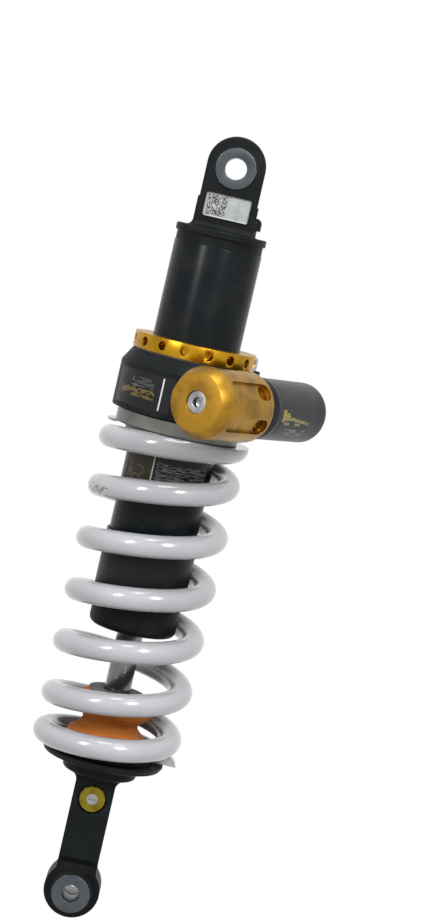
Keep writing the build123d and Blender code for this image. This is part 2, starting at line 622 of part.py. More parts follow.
seat_collar = tube(seat_radius, TUBE_RADIUS + RUN, spring_top, housing_bottom - SEAT_GAP)
seat_collar = chamfer(seat_collar.edges().filter_by(GeomType.CIRCLE).sort_by(SortBy.RADIUS)[-2:], 0.6)
skirt_top = housing_bottom + SEAT_PISTON_HEIGHT
seat_collar += tube(seat_piston_outer, seat_piston_inner, housing_bottom - 1, skirt_top)
seat_collar += tube(spigot_radius, TUBE_RADIUS + RUN, spring_top - SPIGOT_HEIGHT, spring_top)
ring_low = skirt_top - SEAT_SEAL_DEPTH
ring_high = ring_low + SEAL_CORD
seal_depth = SEAT_PISTON_WIDTH / 3
outer_seal = tube(seat_piston_outer, seat_piston_outer - seal_depth, ring_low, ring_high)
inner_seal = tube(seat_piston_inner + seal_depth, seat_piston_inner, ring_low, ring_high)
save(seat_collar - outer_seal - inner_seal, "spring_seat_collar")
save(Compound(children=[outer_seal, inner_seal]), "seat_piston_seals")

# ---------------------------------------------------------------- spring


def pitch_at(turn, active_pitch):
    """Rise per turn of the wire, from the closed ends to the open coils."""
    from_top = (turn - TOP_CLOSED_TURNS) / TOP_RAMP_TURNS
    from_bottom = (SPRING_TURNS - BOTTOM_CLOSED_TURNS - turn) / BOTTOM_RAMP_TURNS
    opening = min(1.0, max(0.0, from_top), max(0.0, from_bottom))
    return CLOSED_PITCH + (active_pitch - CLOSED_PITCH) * opening


def make_spring():
    rise = spring_length - TOP_TIP_DEPTH - BOTTOM_TIP_HEIGHT
    ends = TOP_CLOSED_TURNS + BOTTOM_CLOSED_TURNS + (TOP_RAMP_TURNS + BOTTOM_RAMP_TURNS) / 2
    active_pitch = (rise - CLOSED_PITCH * ends) / (SPRING_TURNS - ends)
    points = []
    depth = TOP_TIP_DEPTH
    for step in range(int(SPRING_TURNS * SPRING_STEPS) + 1):
        turn = step / SPRING_STEPS
        angle = math.radians(180 - 360 * turn)
        x = spring_mean * math.cos(angle)
        y = spring_mean * math.sin(angle)
        points.append((x, y, spring_top - depth))
        middle = turn + 0.5 / SPRING_STEPS
        depth += pitch_at(middle, active_pitch) / SPRING_STEPS
    path = Spline(*points)
    section = Plane(origin=path @ 0, z_dir=path % 0) * Circle(WIRE_RADIUS)
    wire = sweep(section, path=path, is_frenet=True)
    between_seats = disc(2 * spring_mean, spring_bottom, spring_top)
    return wire & between_seats


save(make_spring(), "coil_spring")

# ---------------------------------------------------------------- rod, piston and valves

rod = disc(ROD_RADIUS, rod_bottom, piston_bottom - SHIM_STACK_HEIGHT)
rod += disc(ROD_SPIGOT_RADIUS, piston_bottom - SHIM_STACK_HEIGHT, rod_top)
rod -= disc(ROD_CORE_RADIUS, rod_bottom - 1, piston_bottom - ROD_CORE_DEPTH)
rod = chamfer(rod.edges().group_by(Axis.Z)[-1], 0.8)
for angle in (0, 90):
    port = Rot(0, 0, angle) * Rot(90, 0, 0) * Cylinder(ROD_PORT_RADIUS, 3 * ROD_RADIUS)
    rod -= Pos(0, 0, piston_bottom - ROD_PORT_DEPTH) * port
save(rod, "piston_rod")

band_low = piston_bottom + (PISTON_HEIGHT - PISTON_BAND_HEIGHT) / 2
band_high = band_low + PISTON_BAND_HEIGHT
piston_radius = tube_bore - PISTON_GAP
band_radius = tube_bore - RUN
piston = tube(piston_radius, ROD_SPIGOT_RADIUS, piston_bottom, piston_top)
piston -= tube(TUBE_RADIUS, band_radius - PISTON_BAND_WALL, band_low, band_high)
port = disc(PISTON_PORT_RADIUS, piston_bottom - 1, piston_top + 1)
for index in range(PISTON_PORTS):
    piston -= Rot(0, 0, index * 360 / PISTON_PORTS) * Pos(PISTON_PORT_CIRCLE, 0, 0) * port
save(piston, "piston")
save(tube(band_radius, band_radius - PISTON_BAND_WALL, band_low, band_high), "piston_band")


def shim_stack(low, upwards):
    """Shims that shrink away from the piston, on the rod's spigot."""
    height = SHIM_STACK_HEIGHT / SHIMS
    stack = []
    for index in range(SHIMS):
        level = index if upwards else SHIMS - 1 - index
        bottom = low + index * height
        shim = tube(SHIM_RADIUS - SHIM_STEP * level, ROD_SPIGOT_RADIUS, bottom, bottom + height)
        stack.append(shim)
    return Compound(children=stack)


save(shim_stack(piston_bottom - SHIM_STACK_HEIGHT, False), "rebound_shims")
save(shim_stack(piston_top, True), "compression_shims")
nut = hexagon(PISTON_NUT_WIDTH, nut_bottom, rod_top - 1.0)
nut -= disc(ROD_SPIGOT_RADIUS, nut_bottom - 1, rod_top)
save(nut, "piston_nut")

# ---------------------------------------------------------------- bump stop and lower spring seat


def make_bump_stop():
    inner = ROD_RADIUS + LOOSE
    foot = BUMP_STOP_LOWER_RADIUS - BUMP_STOP_FOOT_STEP
    outline = Line((foot, bump_bottom), (inner, bump_bottom))
    outline += Line((inner, bump_bottom), (inner, bump_top))
    outline += Line((inner, bump_top), (BUMP_STOP_TOP_RADIUS, bump_top))
    side = Spline(
        (BUMP_STOP_TOP_RADIUS, bump_top),
        (BUMP_STOP_UPPER_RADIUS, bump_bottom + BUMP_STOP_UPPER_HEIGHT),
        (BUMP_STOP_WAIST_RADIUS, bump_bottom + BUMP_STOP_WAIST_HEIGHT),
        (BUMP_STOP_LOWER_RADIUS, bump_bottom + BUMP_STOP_LOWER_HEIGHT),
        (foot, bump_bottom),
    )
    return revolve(Plane.XZ * make_face(outline + side), Axis.Z)


save(make_bump_stop(), "bump_stop")

bump_washer = tube(BUMP_STOP_TOP_RADIUS, ROD_RADIUS + LOOSE, bump_top, washer_top)
save(bump_washer, "bump_washer")

lower_seat = tube(seat_radius, ROD_RADIUS, seat_bottom, spring_bottom)
lower_seat = chamfer(lower_seat.edges().filter_by(GeomType.CIRCLE).sort_by(SortBy.RADIUS)[-2:], 0.5)
lower_seat += tube(spigot_radius, ROD_RADIUS, spring_bottom, bump_bottom)
save(lower_seat, "lower_spring_seat")

backing_ring = tube(seat_radius - BACKING_RING_STEP, ROD_RADIUS, backing_bottom, seat_bottom)
lower_rim = backing_ring.edges().group_by(Axis.Z)[0].sort_by(SortBy.RADIUS)[-1]
backing_ring = fillet(lower_rim, BACKING_RING_FILLET)
save(backing_ring, "seat_backing_ring")

# ---------------------------------------------------------------- lower mount


def make_lower_mount():
    arm_length = collar_bottom - lower_eye_z
    flare = ARM_WIDTH / 2 + ARM_FILLET
    outline = Pos(0, lower_eye_z + arm_length / 2) * Rectangle(ARM_WIDTH, arm_length)
    outline += Pos(0, collar_bottom + 1) * Rectangle(2 * flare, 2)
    outline += Pos(0, lower_eye_z) * Circle(LOWER_EYE_RADIUS)
    inner_corners = [v for v in outline.vertices() if abs(abs(v.X) - ARM_WIDTH / 2) < 0.01]
    outline = fillet(inner_corners, ARM_FILLET)
    body = extrude(Plane.XZ * outline, ARM_THICKNESS / 2, both=True)
    shoulder = lower_eye_z + LOWER_EYE_RADIUS
    for side in (-1, 1):
        relief = make_face(Polyline(
            (side * ARM_THICKNESS, shoulder + ARM_THICKNESS),
            (side * LOWER_EYE_THICKNESS / 2, shoulder),
            (side * LOWER_EYE_THICKNESS / 2, lower_eye_z - 2 * LOWER_EYE_RADIUS),
            (side * 2 * ARM_THICKNESS, lower_eye_z - 2 * LOWER_EYE_RADIUS),
            (side * 2 * ARM_THICKNESS, shoulder + ARM_THICKNESS),
            close=True,
        ))
        body -= extrude(Plane.YZ * relief, 2 * ARM_WIDTH, both=True)
    collar = disc(MOUNT_COLLAR_RADIUS, collar_bottom, backing_bottom)
    collar = fillet(collar.edges().group_by(Axis.Z)[0], MOUNT_COLLAR_FILLET)
    body += collar
    body -= cross_bar(lower_bush_radius, ARM_THICKNESS + 2, lower_eye_z)
    body -= disc(ROD_RADIUS, rod_bottom, backing_bottom + 1)
    body -= disc(NEEDLE_RADIUS + LOOSE, rebound_z, rod_bottom + 1)
    recess = REBOUND_KNOB_RADIUS + REBOUND_GAP
    body -= rebound_frame * disc(recess, -RUN, REBOUND_KNOB_LENGTH + 1)
    body -= rebound_frame * disc(REBOUND_STEM_RADIUS + RUN, -stem_length - RUN, 0)
    return body


knob_seat = REBOUND_KNOB_LENGTH - ARM_THICKNESS / 2
stem_length = REBOUND_STEM_REACH - knob_seat
rebound_frame = Pos(0, knob_seat, rebound_z) * Rot(90, 0, 0)
lower_bush_radius = lower_sleeve_radius + RUN + BUSH_WALL
save(make_lower_mount(), "lower_mount")

save(eye_bush(lower_sleeve_radius, LOWER_EYE_THICKNESS, lower_eye_z), "lower_bush")
lower_seals = eye_seals(lower_sleeve_radius, LOWER_EYE_THICKNESS, LOWER_SLEEVE_LENGTH, lower_eye_z)
save(lower_seals, "lower_eye_seals")
lower_sleeve = make_sleeve(lower_sleeve_radius, LOWER_BORE_RADIUS, LOWER_SLEEVE_LENGTH, lower_eye_z)
save(lower_sleeve, "lower_sleeve")

# ---------------------------------------------------------------- rebound adjuster

rebound_knob = disc(REBOUND_KNOB_RADIUS, 0, REBOUND_KNOB_LENGTH)
rebound_knob = chamfer(rebound_knob.edges().group_by(Axis.Z)[-1], 0.8)
notch = disc(REBOUND_NOTCH_RADIUS, -1, REBOUND_KNOB_LENGTH + 1)
for index in range(REBOUND_KNOB_NOTCHES):
    turn = index * 360 / REBOUND_KNOB_NOTCHES
    rebound_knob -= Rot(0, 0, turn) * Pos(REBOUND_KNOB_RADIUS, 0, 0) * notch
rebound_knob += disc(REBOUND_STEM_RADIUS, -stem_length, 0)
screw_seat = REBOUND_KNOB_LENGTH - REBOUND_SCREW_HEIGHT
rebound_knob -= disc(REBOUND_SCREW_RADIUS, screw_seat, REBOUND_KNOB_LENGTH + 1)
save(rebound_frame * rebound_knob, "rebound_knob")
rebound_screw = disc(REBOUND_SCREW_RADIUS, screw_seat, REBOUND_KNOB_LENGTH - 0.2)
slot_length = 2 * REBOUND_SCREW_RADIUS - 1.5
rebound_screw -= Pos(0, 0, REBOUND_KNOB_LENGTH) * Box(slot_length, REBOUND_SLOT_WIDTH, 2.0)
save(rebound_frame * rebound_screw, "rebound_screw")

needle_bottom = rebound_z + REBOUND_STEM_RADIUS + LOOSE
needle_top = piston_bottom - NEEDLE_TIP_DEPTH
needle = disc(NEEDLE_RADIUS, needle_bottom, needle_top)
tip_width = NEEDLE_RADIUS - NEEDLE_TIP_RADIUS
needle = chamfer(needle.edges().group_by(Axis.Z)[-1], NEEDLE_TAPER, tip_width)
save(needle, "rebound_needle")
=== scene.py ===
# %% [markdown]
# # A motorcycle rear shock absorber
# This lesson dresses an engineering model of a rear shock absorber. The frame holds every piece at
# its real size and place, and the joints that move it. Here each visible piece gets the soft edges,
# the coil, the scallops and the finishes that make it look real, without moving anything.
# All lengths are metres. The origin is the centre of the upper eye and Z runs up along the shock.

# %% Load the frame
import json
import math

import bpy
from mathutils import Matrix, Vector

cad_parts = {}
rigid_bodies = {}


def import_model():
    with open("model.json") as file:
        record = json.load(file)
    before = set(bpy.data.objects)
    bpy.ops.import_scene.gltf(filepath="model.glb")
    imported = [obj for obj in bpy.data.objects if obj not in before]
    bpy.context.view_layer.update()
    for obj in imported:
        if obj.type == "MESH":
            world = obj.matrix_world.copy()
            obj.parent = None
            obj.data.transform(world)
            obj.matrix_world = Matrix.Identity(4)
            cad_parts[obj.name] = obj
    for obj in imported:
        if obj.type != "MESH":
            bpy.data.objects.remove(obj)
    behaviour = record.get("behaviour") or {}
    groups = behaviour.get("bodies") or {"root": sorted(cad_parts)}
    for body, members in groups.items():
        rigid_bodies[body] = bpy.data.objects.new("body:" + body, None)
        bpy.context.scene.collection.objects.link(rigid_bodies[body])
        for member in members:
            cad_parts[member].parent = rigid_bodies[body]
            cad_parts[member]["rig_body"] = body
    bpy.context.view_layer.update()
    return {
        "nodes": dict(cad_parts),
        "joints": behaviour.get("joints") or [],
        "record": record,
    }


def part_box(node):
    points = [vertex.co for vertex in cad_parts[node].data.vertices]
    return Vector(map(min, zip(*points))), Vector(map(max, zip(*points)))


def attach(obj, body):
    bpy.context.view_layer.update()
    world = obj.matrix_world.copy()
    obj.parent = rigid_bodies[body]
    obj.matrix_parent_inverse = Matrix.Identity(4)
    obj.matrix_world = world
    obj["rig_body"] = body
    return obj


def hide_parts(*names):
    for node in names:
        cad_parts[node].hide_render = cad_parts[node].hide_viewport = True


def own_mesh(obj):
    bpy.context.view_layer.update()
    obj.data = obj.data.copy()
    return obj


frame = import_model()
MM = 0.001
nodes = frame["nodes"]
joints = {joint["name"]: joint for joint in frame["joints"]}

# %% [markdown]
# ## Camera
# The view is taken from just below the top of the shock, so the upper eye is seen straight on
# and the lower seat from above. The shock leans in the view because the camera is rolled about
# its own line of sight. The camera is built from where it stands, where it looks and that roll.

# %% Camera
CAMERA_PLACE = Vector((0.013, -1.340, -0.026))
CAMERA_TARGET = Vector((0.0263, 0.0, -0.1628))
CAMERA_ROLL = math.radians(12.97)
CAMERA_LENS = 92.6

camera_data = bpy.data.cameras.new("camera")
camera = bpy.data.objects.new("camera", camera_data)
bpy.context.scene.collection.objects.link(camera)
look = (CAMERA_TARGET - CAMERA_PLACE).to_track_quat("-Z", "Y").to_matrix().to_4x4()
camera.matrix_world = Matrix.Translation(CAMERA_PLACE) @ look @ Matrix.Rotation(CAMERA_ROLL, 4, "Z")
camera_data.lens = CAMERA_LENS
camera_data.sensor_width = 36
camera_data.sensor_fit = "AUTO"
camera_data.clip_end = 20
bpy.context.scene.camera = camera
print("camera is", round((CAMERA_TARGET - CAMERA_PLACE).length, 3), "m away")

# %% [markdown]
# ## Light
# A catalogue view on white has an even white world and two tall, narrow soft lights. Each one draws
# a thin upright line of light along the round pieces and a small bright mark on every coil. The right
# one is stronger and higher. There is no floor: the shock floats on white, as in a parts catalogue.

# %% Light


def strip_light(name, azimuth, elevation, distance, size, power):
    """A tall soft light, seen from the middle of the shock at these angles from the camera's side."""
    aim = Vector((0.0, 0.0, -0.2))
    side, rise = math.radians(azimuth), math.radians(elevation)
    toward = Vector((math.sin(side) * math.cos(rise), -math.cos(side) * math.cos(rise), math.sin(rise)))
    place = aim + toward * distance
    bpy.ops.object.light_add(type="AREA", location=place)
    lamp = bpy.context.object
    lamp.name = name
    lamp.rotation_euler = (aim - place).to_track_quat("-Z", "Y").to_euler()
    lamp.data.shape = "RECTANGLE"
    lamp.data.size = size[0]
    lamp.data.size_y = size[1]
    lamp.data.energy = power
    return lamp


strip_light("strip_right", 24, 35, 2.2, (0.27, 0.78), 46)
strip_light("strip_left", -37, 25, 2.2, (0.27, 0.78), 26)
strip_light("overhead", 0, 78, 2.0, (0.9, 0.9), 18)

world = bpy.data.worlds.new("studio")
bpy.context.scene.world = world
world.use_nodes = True
world.node_tree.nodes["Background"].inputs["Color"].default_value = (1, 1, 1, 1)
world.node_tree.nodes["Background"].inputs["Strength"].default_value = 1.0

bpy.context.scene.view_settings.view_transform = "Standard"
print("two strips, one overhead light and a white world")

# %% [markdown]
# ## Shared surface detail
# Real finishes are never one flat colour. Powder coat has a fine orange-peel skin, anodised metal
# shows the rings the lathe left, and everything picks up a little dust. Each of these effects is a
# node group with named sockets, so that every finish can use it at its own scale and strength.

# %% Node groups


def new_group(name, inputs, outputs):
    """A node group with float inputs (name, default) and typed outputs (name, kind)."""
    group = bpy.data.node_groups.new(name, "ShaderNodeTree")
    for label, default in inputs:
        socket = group.interface.new_socket(label, in_out="INPUT", socket_type="NodeSocketFloat")
        socket.default_value = default
    for label, kind in outputs:
        group.interface.new_socket(label, in_out="OUTPUT", socket_type=kind)
    return group, group.nodes.new("NodeGroupInput"), group.nodes.new("NodeGroupOutput")


def object_noise(tree, scale_socket, detail):
    """Noise in object coordinates whose scale comes from a group's socket."""
    place = tree.nodes.new("ShaderNodeTexCoord")
    noise = tree.nodes.new("ShaderNodeTexNoise")
    noise.inputs["Detail"].default_value = detail
    tree.links.new(place.outputs["Object"], noise.inputs["Vector"])
    tree.links.new(scale_socket, noise.inputs["Scale"])
    return noise


def make_skin_group():
    """Fine grain: a value between 0 and 1 and the normal it gives."""
    inputs = [("Scale", 900.0), ("Strength", 0.1), ("Distance", 0.0001)]
    outputs = [("Value", "NodeSocketFloat"), ("Normal", "NodeSocketVector")]
    group, enter, leave = new_group("fine_skin", inputs, outputs)
    noise = object_noise(group, enter.outputs["Scale"], 4.0)
    bump = group.nodes.new("ShaderNodeBump")
    group.links.new(enter.outputs["Strength"], bump.inputs["Strength"])
    group.links.new(enter.outputs["Distance"], bump.inputs["Distance"])
    group.links.new(noise.outputs["Fac"], bump.inputs["Height"])
    group.links.new(noise.outputs["Fac"], leave.inputs["Value"])
    group.links.new(bump.outputs["Normal"], leave.inputs["Normal"])
    return group


def make_patch_group():
    """Broad uneven patches, such as handling marks and dust, as a mask."""
    inputs = [("Scale", 60.0), ("Low", 0.42), ("High", 0.68)]
    group, enter, leave = new_group("patches", inputs, [("Mask", "NodeSocketFloat")])
    noise = object_noise(group, enter.outputs["Scale"], 6.0)
    span = group.nodes.new("ShaderNodeMapRange")
    span.interpolation_type = "SMOOTHSTEP"
    group.links.new(noise.outputs["Fac"], span.inputs["Value"])
    group.links.new(enter.outputs["Low"], span.inputs["From Min"])
    group.links.new(enter.outputs["High"], span.inputs["From Max"])
    group.links.new(span.outputs["Result"], leave.inputs["Mask"])
    return group


def make_lathe_group():
    """The fine rings a lathe leaves: bands along Z, wavering a little."""
    inputs = [("Scale", 700.0), ("Waver", 0.4)]
    group, enter, leave = new_group("lathe_rings", inputs, [("Value", "NodeSocketFloat")])
    place = group.nodes.new("ShaderNodeTexCoord")
    wave = group.nodes.new("ShaderNodeTexWave")
    wave.wave_type = "BANDS"
    wave.bands_direction = "Z"
    wave.inputs["Detail"].default_value = 3.0
    group.links.new(place.outputs["Object"], wave.inputs["Vector"])
    group.links.new(enter.outputs["Scale"], wave.inputs["Scale"])
    group.links.new(enter.outputs["Waver"], wave.inputs["Distortion"])
    group.links.new(wave.outputs["Fac"], leave.inputs["Value"])
    return group


def make_print_and_highlight_group():
    """Ink, and painted highlight, in random cells of a grid over X and Z, as a mask."""
    inputs = [("Across", 0.0007), ("Down", 0.0007), ("Amount", 0.5)]
    group, enter, leave = new_group("print_and_highlight_cells", inputs, [("Mask", "NodeSocketFloat")])
    place = group.nodes.new("ShaderNodeTexCoord")
    split = group.nodes.new("ShaderNodeSeparateXYZ")
    join = group.nodes.new("ShaderNodeCombineXYZ")
    group.links.new(place.outputs["Object"], split.inputs["Vector"])
    for axis, size in (("X", "Across"), ("Z", "Down")):
        snap = group.nodes.new("ShaderNodeMath")
        snap.operation = "SNAP"
        group.links.new(split.outputs[axis], snap.inputs[0])
        group.links.new(enter.outputs[size], snap.inputs[1])
        group.links.new(snap.outputs[0], join.inputs[axis])
    cell = group.nodes.new("ShaderNodeTexWhiteNoise")
    cell.noise_dimensions = "3D"
    more = group.nodes.new("ShaderNodeMath")
    more.operation = "LESS_THAN"
    group.links.new(join.outputs["Vector"], cell.inputs["Vector"])
    group.links.new(cell.outputs["Value"], more.inputs[0])
    group.links.new(enter.outputs["Amount"], more.inputs[1])
    group.links.new(more.outputs[0], leave.inputs["Mask"])
    return group


def make_zone_group():
    """1 inside a box over X and Z, 0 outside it."""
    inputs = [("Left", 0.0), ("Right", 0.0), ("Bottom", 0.0), ("Top", 0.0)]
    group, enter, leave = new_group("print_and_highlight_zone", inputs, [("Mask", "NodeSocketFloat")])
    place = group.nodes.new("ShaderNodeTexCoord")
    split = group.nodes.new("ShaderNodeSeparateXYZ")
    group.links.new(place.outputs["Object"], split.inputs["Vector"])
    running = None
    for axis, limit, test in (("X", "Left", "GREATER_THAN"), ("X", "Right", "LESS_THAN"),
                              ("Z", "Bottom", "GREATER_THAN"), ("Z", "Top", "LESS_THAN")):
        side = group.nodes.new("ShaderNodeMath")
        side.operation = test
        group.links.new(split.outputs[axis], side.inputs[0])
        group.links.new(enter.outputs[limit], side.inputs[1])
        if running is None:
            running = side.outputs[0]
            continue
        both = group.nodes.new("ShaderNodeMath")
        both.operation = "MULTIPLY"
        group.links.new(running, both.inputs[0])
        group.links.new(side.outputs[0], both.inputs[1])
        running = both.outputs[0]
    group.links.new(running, leave.inputs["Mask"])
    return group


skin_group = make_skin_group()
print_and_highlight_group = make_print_and_highlight_group()
zone_group = make_zone_group()
patch_group = make_patch_group()
lathe_group = make_lathe_group()
all_groups = (skin_group, patch_group, lathe_group, print_and_highlight_group, zone_group)
print("node groups:", [group.name for group in all_groups])

# %% [markdown]
# ## Finishes
# Each finish mixes two shades of its colour through the patches, lets the fine skin or the lathe
# rings move its roughness, and takes a little relief from the same skin. The black parts are powder
# coated and hard anodised, the adjusters are gold anodised, the rod is hard chrome, the spring has a
# thick glossy coat, and the bump stop is foamed polyurethane full of tiny cells.

# %% Finishes


def use_group(tree, group, **values):
    """A group node with its sockets set by name."""
    node = tree.nodes.new("ShaderNodeGroup")
    node.node_tree = group
    for label, value in values.items():
        node.inputs[label].default_value = value
    return node


def blend_colours(tree, mask, first, second):
    """A colour that runs from first to second as the mask runs from 0 to 1."""
    mix = tree.nodes.new("ShaderNodeMix")
    mix.data_type = "RGBA"
    tree.links.new(mask, mix.inputs["Factor"])
    mix.inputs["A"].default_value = (*first, 1)
    mix.inputs["B"].default_value = (*second, 1)
    return mix.outputs["Result"]


def spread(tree, value, low, high):
    """A 0 to 1 value stretched between two limits."""
    node = tree.nodes.new("ShaderNodeMapRange")
    node.inputs["To Min"].default_value = low
    node.inputs["To Max"].default_value = high
    tree.links.new(value, node.inputs["Value"])
    return node.outputs["Result"]


def add_marks(tree, colour, marks):
    """Lays marks over a colour, both printed ink and painted highlights: each is (colour, cell size,
    amount, zone), in millimetres.
    """
    for ink_and_highlight, cell, amount, zone in marks:
        cells = use_group(tree, print_and_highlight_group, Across=cell[0] * MM, Down=cell[1] * MM, Amount=amount)
        left, right, bottom, top = [edge * MM for edge in zone]
        area = use_group(tree, zone_group, Left=left, Right=right, Bottom=bottom, Top=top)
        both = tree.nodes.new("ShaderNodeMath")
        both.operation = "MULTIPLY"
        tree.links.new(cells.outputs["Mask"], both.inputs[0])
        tree.links.new(area.outputs["Mask"], both.inputs[1])
        mix = tree.nodes.new("ShaderNodeMix")
        mix.data_type = "RGBA"
        tree.links.new(both.outputs[0], mix.inputs["Factor"])
        tree.links.new(colour, mix.inputs["A"])
        mix.inputs["B"].default_value = (*ink_and_highlight, 1)
        colour = mix.outputs["Result"]
    return colour


# ink, cell size, share of cells inked, and left, right, bottom and top of the zone
SPRING_MARKS = [((0.11, 0.11, 0.11), (1.1, 1.6), 0.5, (-41.0, -29.5, -193.5, -188.0))]


def finish(name, first, second, rough, metal=0.0, gloss=0.5, coat=0.0, skin=(900.0, 0.1), patches=60.0,
           rings=0.0, marks=()):
    """A finish of two shades, a roughness range and a fine relief, with lathe rings or print if asked."""
    material = bpy.data.materials.new(name)
    material.use_nodes = True
    tree = material.node_tree
    shader = tree.nodes["Principled BSDF"]
    shader.inputs["Metallic"].default_value = metal
    shader.inputs["Specular IOR Level"].default_value = gloss
    shader.inputs["Coat Weight"].default_value = coat
    shader.inputs["Coat Roughness"].default_value = 0.06
    grain = use_group(tree, skin_group, Scale=skin[0], Strength=skin[1])
    patch = use_group(tree, patch_group, Scale=patches)
    colour = add_marks(tree, blend_colours(tree, patch.outputs["Mask"], first, second), marks)
    tree.links.new(colour, shader.inputs["Base Color"])
    source = grain.outputs["Value"]
    if rings:
        source = use_group(tree, lathe_group, Scale=rings).outputs["Value"]
    tree.links.new(spread(tree, source, *rough), shader.inputs["Roughness"])
    tree.links.new(grain.outputs["Normal"], shader.inputs["Normal"])
    return material


finishes = {
    "black_coat": finish("black_coat", (0.0035, 0.0045, 0.005), (0.007, 0.008, 0.009), (0.36, 0.56),
        gloss=0.08, skin=(1400, 0.22)),
    "black_tube": finish("black_tube", (0.003, 0.0042, 0.005), (0.006, 0.007, 0.008), (0.20, 0.32),
        gloss=0.10, rings=500),
    "black_plastic": finish("black_plastic", (0.005, 0.0055, 0.006), (0.009, 0.009, 0.010), (0.30, 0.44),
        gloss=0.14, skin=(700, 0.1)),
    "gold_anodised": finish("gold_anodised", (0.44, 0.235, 0.012), (0.27, 0.135, 0.010), (0.20, 0.36),
        metal=1.0, rings=900),
    # A darker, browner copy of the gold, used on the hand knob.
    "gold_darker": finish("gold_darker", (0.34, 0.185, 0.022), (0.22, 0.118, 0.018), (0.30, 0.48),
        metal=1.0, rings=700, patches=90),
    "gold_dull": finish("gold_dull", (0.20, 0.155, 0.018), (0.12, 0.095, 0.012), (0.34, 0.52),
        metal=1.0, rings=700, patches=240),
    "dark_anodised": finish("dark_anodised", (0.026, 0.027, 0.029), (0.016, 0.017, 0.018), (0.30, 0.46),
        metal=0.4, gloss=0.2, skin=(1600, 0.08)),
    "bare_aluminium": finish("bare_aluminium", (0.17, 0.17, 0.155), (0.12, 0.12, 0.11), (0.28, 0.46),
        metal=1.0, rings=800),
    "steel": finish("steel", (0.085, 0.095, 0.105), (0.06, 0.068, 0.074), (0.24, 0.40),
        metal=1.0, skin=(1500, 0.05)),
    "screw_steel": finish("screw_steel", (0.40, 0.40, 0.41), (0.27, 0.27, 0.28), (0.22, 0.38),
        metal=1.0, skin=(1500, 0.06)),
    "chrome_rod": finish("chrome_rod", (0.20, 0.205, 0.21), (0.16, 0.165, 0.17), (0.14, 0.22),
        metal=1.0, skin=(1800, 0.02)),
    "spring_white": finish("spring_white", (0.26, 0.265, 0.275), (0.235, 0.24, 0.25), (0.16, 0.24),
        gloss=0.45, coat=0.5, skin=(420, 0.02), patches=25,
        marks=SPRING_MARKS),
    "bump_orange": finish("bump_orange", (0.40, 0.125, 0.020), (0.29, 0.085, 0.015), (0.62, 0.82),
        gloss=0.2, skin=(1300, 0.5), patches=110),
    "seal_rubber": finish("seal_rubber", (0.005, 0.005, 0.005), (0.010, 0.010, 0.009), (0.50, 0.70),
        gloss=0.1, skin=(1100, 0.2)),
    "bearing_bronze": finish("bearing_bronze", (0.36, 0.25, 0.12), (0.26, 0.17, 0.08), (0.36, 0.52),
        metal=1.0),
    "nylon": finish("nylon", (0.150, 0.140, 0.130), (0.115, 0.107, 0.100), (0.48, 0.62),
        gloss=0.15, skin=(800, 0.15)),
    "valve_brass": finish("valve_brass", (0.07, 0.055, 0.030), (0.045, 0.035, 0.020), (0.28, 0.42),
        metal=1.0, rings=900),
}
for entry in frame["record"]["subparts"]:
    surface = nodes[entry["node"]].data.materials
    surface.clear()
    surface.append(finishes[entry["material_slot"]])
rebound_surface = nodes["rebound_knob"].data.materials
rebound_surface.clear()
rebound_surface.append(finishes["gold_dull"])
print(len(finishes), "finishes on", len(nodes), "frame pieces")

# %% [markdown]
# ## How the turned pieces are made
# Most of a shock absorber is turned on a lathe, so most of it is modelled the same way: half the
# outline is traced point by point, spun once round the axis, and its edges are broken with a small
# bevel. The outlines take their sizes from the frame, so that each piece fits its neighbours.

# %% Helpers for turned pieces
SEGMENTS = 144
DOUBLES = 0.004


def fresh():
    """Nothing selected and no edit mode, before a new piece is started."""
    if bpy.context.object and bpy.context.object.mode != "OBJECT":
        bpy.ops.object.mode_set(mode="OBJECT")
    bpy.ops.object.select_all(action="DESELECT")


def trace_profile(name, outline):
    """A closed turned piece from half an outline of (radius, height) points in millimetres."""
    fresh()
    bpy.ops.mesh.primitive_plane_add(size=MM)
    piece = bpy.context.object
    piece.name = name
    bpy.ops.object.mode_set(mode="EDIT")
    bpy.ops.mesh.select_all(action="SELECT")
    bpy.ops.mesh.merge(type="CENTER")
    first = outline[0]
    bpy.ops.transform.translate(value=(first[0] * MM, 0, first[1] * MM))
    for here, there in zip(outline, outline[1:] + outline[:1]):
        step = ((there[0] - here[0]) * MM, 0, (there[1] - here[1]) * MM)
        bpy.ops.mesh.extrude_region_move(TRANSFORM_OT_translate={"value": step})
    bpy.ops.mesh.select_all(action="SELECT")
    bpy.ops.mesh.spin(steps=SEGMENTS, angle=2 * math.pi, center=(0, 0, 0), axis=(0, 0, 1))
    bpy.ops.mesh.select_all(action="SELECT")
    bpy.ops.mesh.remove_doubles(threshold=0.000002)
    bpy.ops.mesh.delete_loose()
    bpy.ops.mesh.select_all(action="SELECT")
    bpy.ops.mesh.normals_make_consistent(inside=False)
    bpy.ops.object.mode_set(mode="OBJECT")
    return piece


def clean_mesh():
    """Joins points that fell on one another and turns every face of the active piece outwards."""
    bpy.ops.object.mode_set(mode="EDIT")
    bpy.ops.mesh.select_all(action="SELECT")
    bpy.ops.mesh.remove_doubles(threshold=DOUBLES * MM)
    bpy.ops.mesh.normals_make_consistent(inside=False)
    bpy.ops.object.mode_set(mode="OBJECT")


def break_edges(piece, width, segments=3, angle=25):
    """Bevels every edge sharper than an angle, as a file or a tumbler would."""
    bevel = piece.modifiers.new("edges", "BEVEL")
    bevel.width = width * MM
    bevel.segments = segments
    bevel.limit_method = "ANGLE"
    bevel.angle_limit = math.radians(angle)
    bpy.context.view_layer.objects.active = piece
    bpy.ops.object.modifier_apply(modifier=bevel.name)
    return piece


